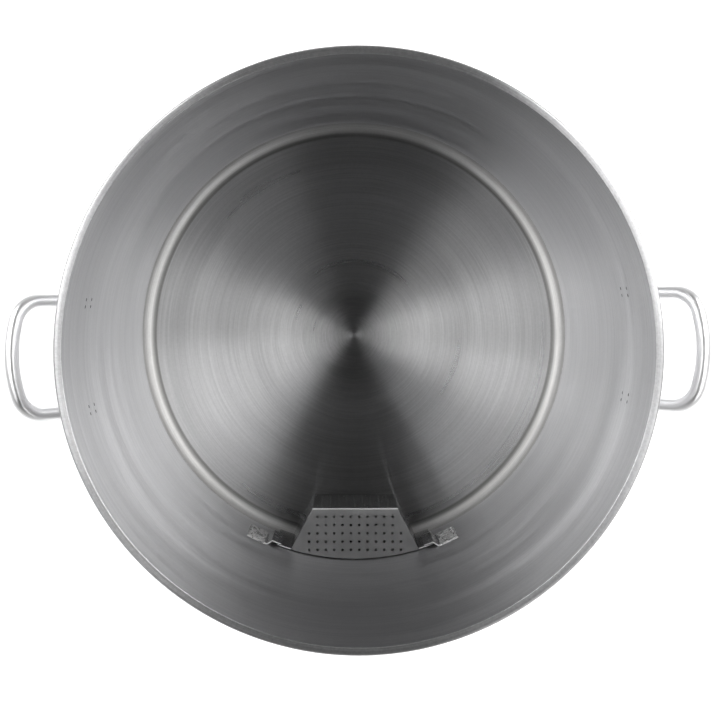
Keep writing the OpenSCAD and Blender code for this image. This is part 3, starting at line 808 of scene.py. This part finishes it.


# how near the top a face has to be to take the painted highlight of a bright edge
REAR_EDGE_Z = 0.0003
FRONT_EDGE_Z = 0.0012
FRONT_EDGE_Y = 0.0013
hood = finish_mesh("strainer_hood", build_strainer(), MATERIALS["sheet_steel"], "strainer_basket",
                   ["strainer"], 28)
hood.data.materials.append(EDGE_HIGHLIGHT_STEEL)
hood.data.materials.append(SKIRT_STEEL)
for poly in hood.data.polygons:
    middle, upward = poly.center, poly.normal.z
    beyond_plate = (math.degrees(math.atan2(abs(middle.x), -middle.y)) > REAR_ANGLE
                    and middle.z > STRAINER_TOP - REAR_EDGE_Z)
    front_bend = (-middle.y < FRONT_Y + FRONT_EDGE_Y and middle.z > STRAINER_TOP - FRONT_EDGE_Z
                  and upward > 0.2)
    # painted highlight on the top edges; the upright faces take the skirt's steel
    if beyond_plate and upward > 0.5 or front_bend:
        poly.material_index = 1
    elif abs(upward) < 0.5:
        poly.material_index = 2


# ------------------------------------------------------------------ rails
RAIL_Z0, RAIL_Z1 = RAIL_LO[2], RAIL_HI[2]
RAIL_BEND = 0.0012       # radius of the two bends of the Z
RAIL_EDGE = 0.00015      # bevel along the strip's ends
NO_BEND = 0.00001
FOOT_STEPS, FREE_STEPS = 10, 6


def rail_mesh(mirror):
    """Z-shaped strip with rounded bends, standing along the wall."""
    foot_r, free_r = INNER_R - SHEET / 2, INNER_R - RAIL_SLOT - SHEET / 2
    shift = -RAILS_TURN * mirror
    middle = [around(foot_r, RAIL_END + shift - (RAIL_END - RAIL_FOOT) * i / FOOT_STEPS, 0)
              for i in range(FOOT_STEPS + 1)]
    middle += [around(free_r, RAIL_STEP + shift - (RAIL_STEP - RAIL_TIP) * i / FREE_STEPS, 0)
               for i in range(FREE_STEPS + 1)]
    bends = (FOOT_STEPS, FOOT_STEPS + 1)
    radii = [RAIL_BEND if i in bends else NO_BEND for i in range(1, len(middle) - 1)]
    path = rounded_path([(p.x, p.y) for p in middle], radii, 4)
    bm = bmesh.new()
    lines = []
    for i, p in enumerate(path):
        d = (path[min(i + 1, len(path) - 1)] - path[max(i - 1, 0)]).normalized()
        n = Vector((d.y, -d.x)) * (SHEET / 2)
        lines.append((p + n, p - n))
    rings = []
    for z, pull in ((RAIL_Z0, RAIL_EDGE), (RAIL_Z0 + RAIL_EDGE, 0),
                    (RAIL_Z1 - RAIL_EDGE, 0), (RAIL_Z1, RAIL_EDGE)):
        ring = [a.lerp(b, pull / SHEET) for a, b in lines]
        ring += [b.lerp(a, pull / SHEET) for a, b in reversed(lines)]
        rings.append([bm.verts.new((mirror * q.x, q.y, z)) for q in ring])
    skin(bm, rings)
    count = len(path)
    for ring in (rings[0], rings[-1]):
        for k in range(count - 1):
            bm.faces.new((ring[k], ring[k + 1], ring[2 * count - 2 - k], ring[2 * count - 1 - k]))
    return to_mesh("rail", bm)


# weld pads: margins round the welded leg, thickness and its limits
PAD_START, PAD_END = 0.2, 0.55         # degrees past the leg's edges
PAD_PAST = 0.0028                      # past its ends
PAD_THICK, PAD_LUMP = 0.00135, 0.00075
PAD_THIN, PAD_MAX = 0.0001, 0.0028
PAD_BACK = 0.00002                     # keeps its back clear of the wall's inner face
PAD_WOBBLE = 0.0004
PAD_BEAD = 0.55


def pad_thickness(u, v, z, seed):
    """Thickness at a place on the pad, u across and v along it, from 0 to 1."""
    border = min(u * 9, (1 - u) * 9, v * 22, (1 - v) * 22, 1)
    lump = (field.noise(seed) * 0.5 + field.noise(seed * 2.3) * 0.35
            + field.noise(seed * 5.1) * 0.2)
    bead = PAD_BEAD if (v > 0.93 or v < 0.06 or u > 0.86) else 0.0
    ripple = 0.12 * math.sin(z * 2600 + 6 * field.noise(seed))
    thick = PAD_THICK + PAD_LUMP * max(lump + bead + ripple, -0.6)
    return min(max(thick * border ** 0.5, PAD_THIN), PAD_MAX)


def rim_of(grid):
    """The vertices along a grid's four edges, in order."""
    return (grid[0] + [row[-1] for row in grid[1:]] + grid[-1][-2::-1]
            + [row[0] for row in grid[-2:0:-1]])


def weld_pad_mesh(mirror, across=40, along=110):
    """Crumpled weld metal over a rail's welded leg, thickest along its ends and outer edge."""
    bm = bmesh.new()
    shift = -RAILS_TURN * mirror
    a0, a1 = RAIL_FOOT + PAD_START + shift, RAIL_END + PAD_END + shift
    z0, z1 = RAIL_Z0 - PAD_PAST, RAIL_Z1 + PAD_PAST
    front, back = [], []
    for j in range(along + 1):
        z = z0 + (z1 - z0) * j / along
        row_front, row_back = [], []
        for i in range(across + 1):
            angle = a0 + (a1 - a0) * i / across
            seed = Vector((angle * 0.9 * mirror + 40, z * 190, 3))
            thick = pad_thickness(i / across, j / along, z, seed)
            wobble = PAD_WOBBLE * field.noise(seed * 1.7)
            row_front.append(bm.verts.new(around(INNER_R - thick, angle * mirror, z + wobble)))
            row_back.append(bm.verts.new(around(INNER_R - PAD_BACK, angle * mirror, z)))
        front.append(row_front)
        back.append(row_back)
    skin(bm, front, closed_rings=False)
    skin(bm, back, closed_rings=False)
    skin(bm, [rim_of(front), rim_of(back)])
    return to_mesh("weld_pad", bm)


for side_name, mirror in (("right", 1), ("left", -1)):
    strip = finish_mesh(f"rail_strip_{side_name}", rail_mesh(mirror), MATERIALS["rail_steel"],
                        "kettle", [f"guide_rail_{side_name}"], 40)
    # a second material: painted highlight along the strip's top edge
    strip.data.materials.append(EDGE_HIGHLIGHT_STEEL)
    for poly in strip.data.polygons:
        if poly.normal.z > 0.5:
            poly.material_index = 1
    finish_mesh(f"rail_weld_{side_name}", weld_pad_mesh(mirror), MATERIALS["weld_steel"],
                "kettle", ["rail_welds"], 70)

# softened edges on the machined and pressed pieces that keep their CAD shape
EDGE_WIDTHS = {
    "feet_left": 0.0006, "feet_right": 0.0006, "washer_outer": 0.0003, "lock_nut_inner": 0.0003,
    "lock_nut_outer": 0.0003, "valve_body": 0.0005, "valve_end_cap": 0.0004,
    "packing_nut": 0.0003, "lever": 0.0005, "lever_sleeve": 0.0008, "lever_nut": 0.0003,
    "hose_tail": 0.0003, "gasket_outer": 0.0004, "gasket_inner": 0.0004, "stem": 0.0002,
    "base_cap": 0.0002,
}
EDGE_ANGLE = 40          # degrees between two faces from which an edge is rounded
for node_name, width in EDGE_WIDTHS.items():
    rounding = frame["nodes"][node_name].modifiers.new("soft_edges", "BEVEL")
    rounding.width = width
    rounding.segments = 2
    rounding.limit_method = "ANGLE"
    rounding.angle_limit = math.radians(EDGE_ANGLE)
    rounding.harden_normals = True


# ------------------------------------------------------------------ floor, light and camera
GROUND_SIZE = 8
GROUND_DROP = 0.0002     # keeps the studio floor out of the plane of the pot's base


def stage_material():
    material, tree, bsdf = new_material("studio_floor")
    bsdf.inputs["Base Color"].default_value = (0.9, 0.9, 0.9, 1)
    bsdf.inputs["Roughness"].default_value = 0.9
    bsdf.inputs["Emission Color"].default_value = (1, 1, 1, 1)
    bsdf.inputs["Emission Strength"].default_value = 0.3
    return material


bpy.ops.mesh.primitive_plane_add(size=GROUND_SIZE, location=(0, 0, -GROUND_DROP))
ground = bpy.context.object
ground.name = "studio_floor"
ground.data.materials.append(stage_material())

RIM_CENTRE = Vector((0, 0, RIM_Z))


def softbox(name, azimuth, elevation, distance, size, power):
    """A rectangular light that faces the middle of the rim, azimuth in degrees from +X."""
    a, e = math.radians(azimuth), math.radians(elevation)
    light = bpy.data.lights.new(name, "AREA")
    light.shape = "RECTANGLE"
    light.size, light.size_y = size
    light.energy = power
    lamp = bpy.data.objects.new(name, light)
    out = Vector((math.cos(e) * math.cos(a), math.cos(e) * math.sin(a), math.sin(e)))
    lamp.location = RIM_CENTRE + out * distance
    lamp.rotation_mode = "QUATERNION"
    lamp.rotation_quaternion = (-out).to_track_quat("-Z", "Y")
    bpy.context.scene.collection.objects.link(lamp)
    return lamp


# name, azimuth, elevation, distance, size, power
SOFTBOXES = [
    ("softbox_right_back", 29.5, 35, 1.7, (1.33, 0.87), 27),
    ("softbox_left_back", 148, 35, 1.7, (1.3, 0.87), 23),
    ("softbox_left_high", 180, 55, 1.7, (0.87, 0.87), 6.8),
    ("softbox_right_high", 5, 55, 1.7, (1.2, 0.87), 10),
    ("softbox_left_low", 180, 35, 1.7, (0.87, 0.87), 2.5),
    ("softbox_right_front", 320, 35, 1.7, (1.5, 0.87), 7),
    ("softbox_left_front", 212, 50, 1.7, (0.87, 0.87), 3),
]
for settings in SOFTBOXES:
    softbox(*settings)


# the surroundings' brightness, and the heights (0 level, 1 straight up) between which it fades
WORLD_LOW, WORLD_HIGH, WORLD_WHITE, WORLD_DARK = 0.3, 0.6, 0.5, 0.02


def make_world():
    """White surroundings near the horizon and a dark ceiling above."""
    world = bpy.data.worlds.new("studio")
    bpy.context.scene.world = world
    world.use_nodes = True
    tree = world.node_tree
    coords = tree.nodes.new("ShaderNodeTexCoord")
    parts = tree.nodes.new("ShaderNodeSeparateXYZ")
    tree.links.new(coords.outputs["Generated"], parts.inputs[0])
    level = spread(tree, parts.outputs[2], WORLD_LOW, WORLD_HIGH, WORLD_WHITE, WORLD_DARK,
                   smooth=True)
    tree.links.new(level, tree.nodes["Background"].inputs["Strength"])
    tree.nodes["Background"].inputs["Color"].default_value = (1, 1, 1, 1)


make_world()

CAMERA_ABOVE_RIM = 1.18
CAMERA_LENS = 70.27      # with a sensor 36 mm wide
camera_data = bpy.data.cameras.new("camera")
camera_data.sensor_width = 36
camera_data.lens = CAMERA_LENS
camera = bpy.data.objects.new("camera", camera_data)
bpy.context.scene.collection.objects.link(camera)
bpy.context.scene.camera = camera
eye = Vector((-0.01573, 0.0525, RIM_Z + CAMERA_ABOVE_RIM))
aim = Vector((0.00029, -0.0052, RIM_Z))
forward = (aim - eye).normalized()
right = forward.cross(Vector((0, 1, 0))).normalized()
up = right.cross(forward)
camera.matrix_world = Matrix((
    (right.x, up.x, -forward.x, eye.x),
    (right.y, up.y, -forward.y, eye.y),
    (right.z, up.z, -forward.z, eye.z),
    (0, 0, 0, 1),
))
bpy.context.scene.view_settings.view_transform = "Standard"
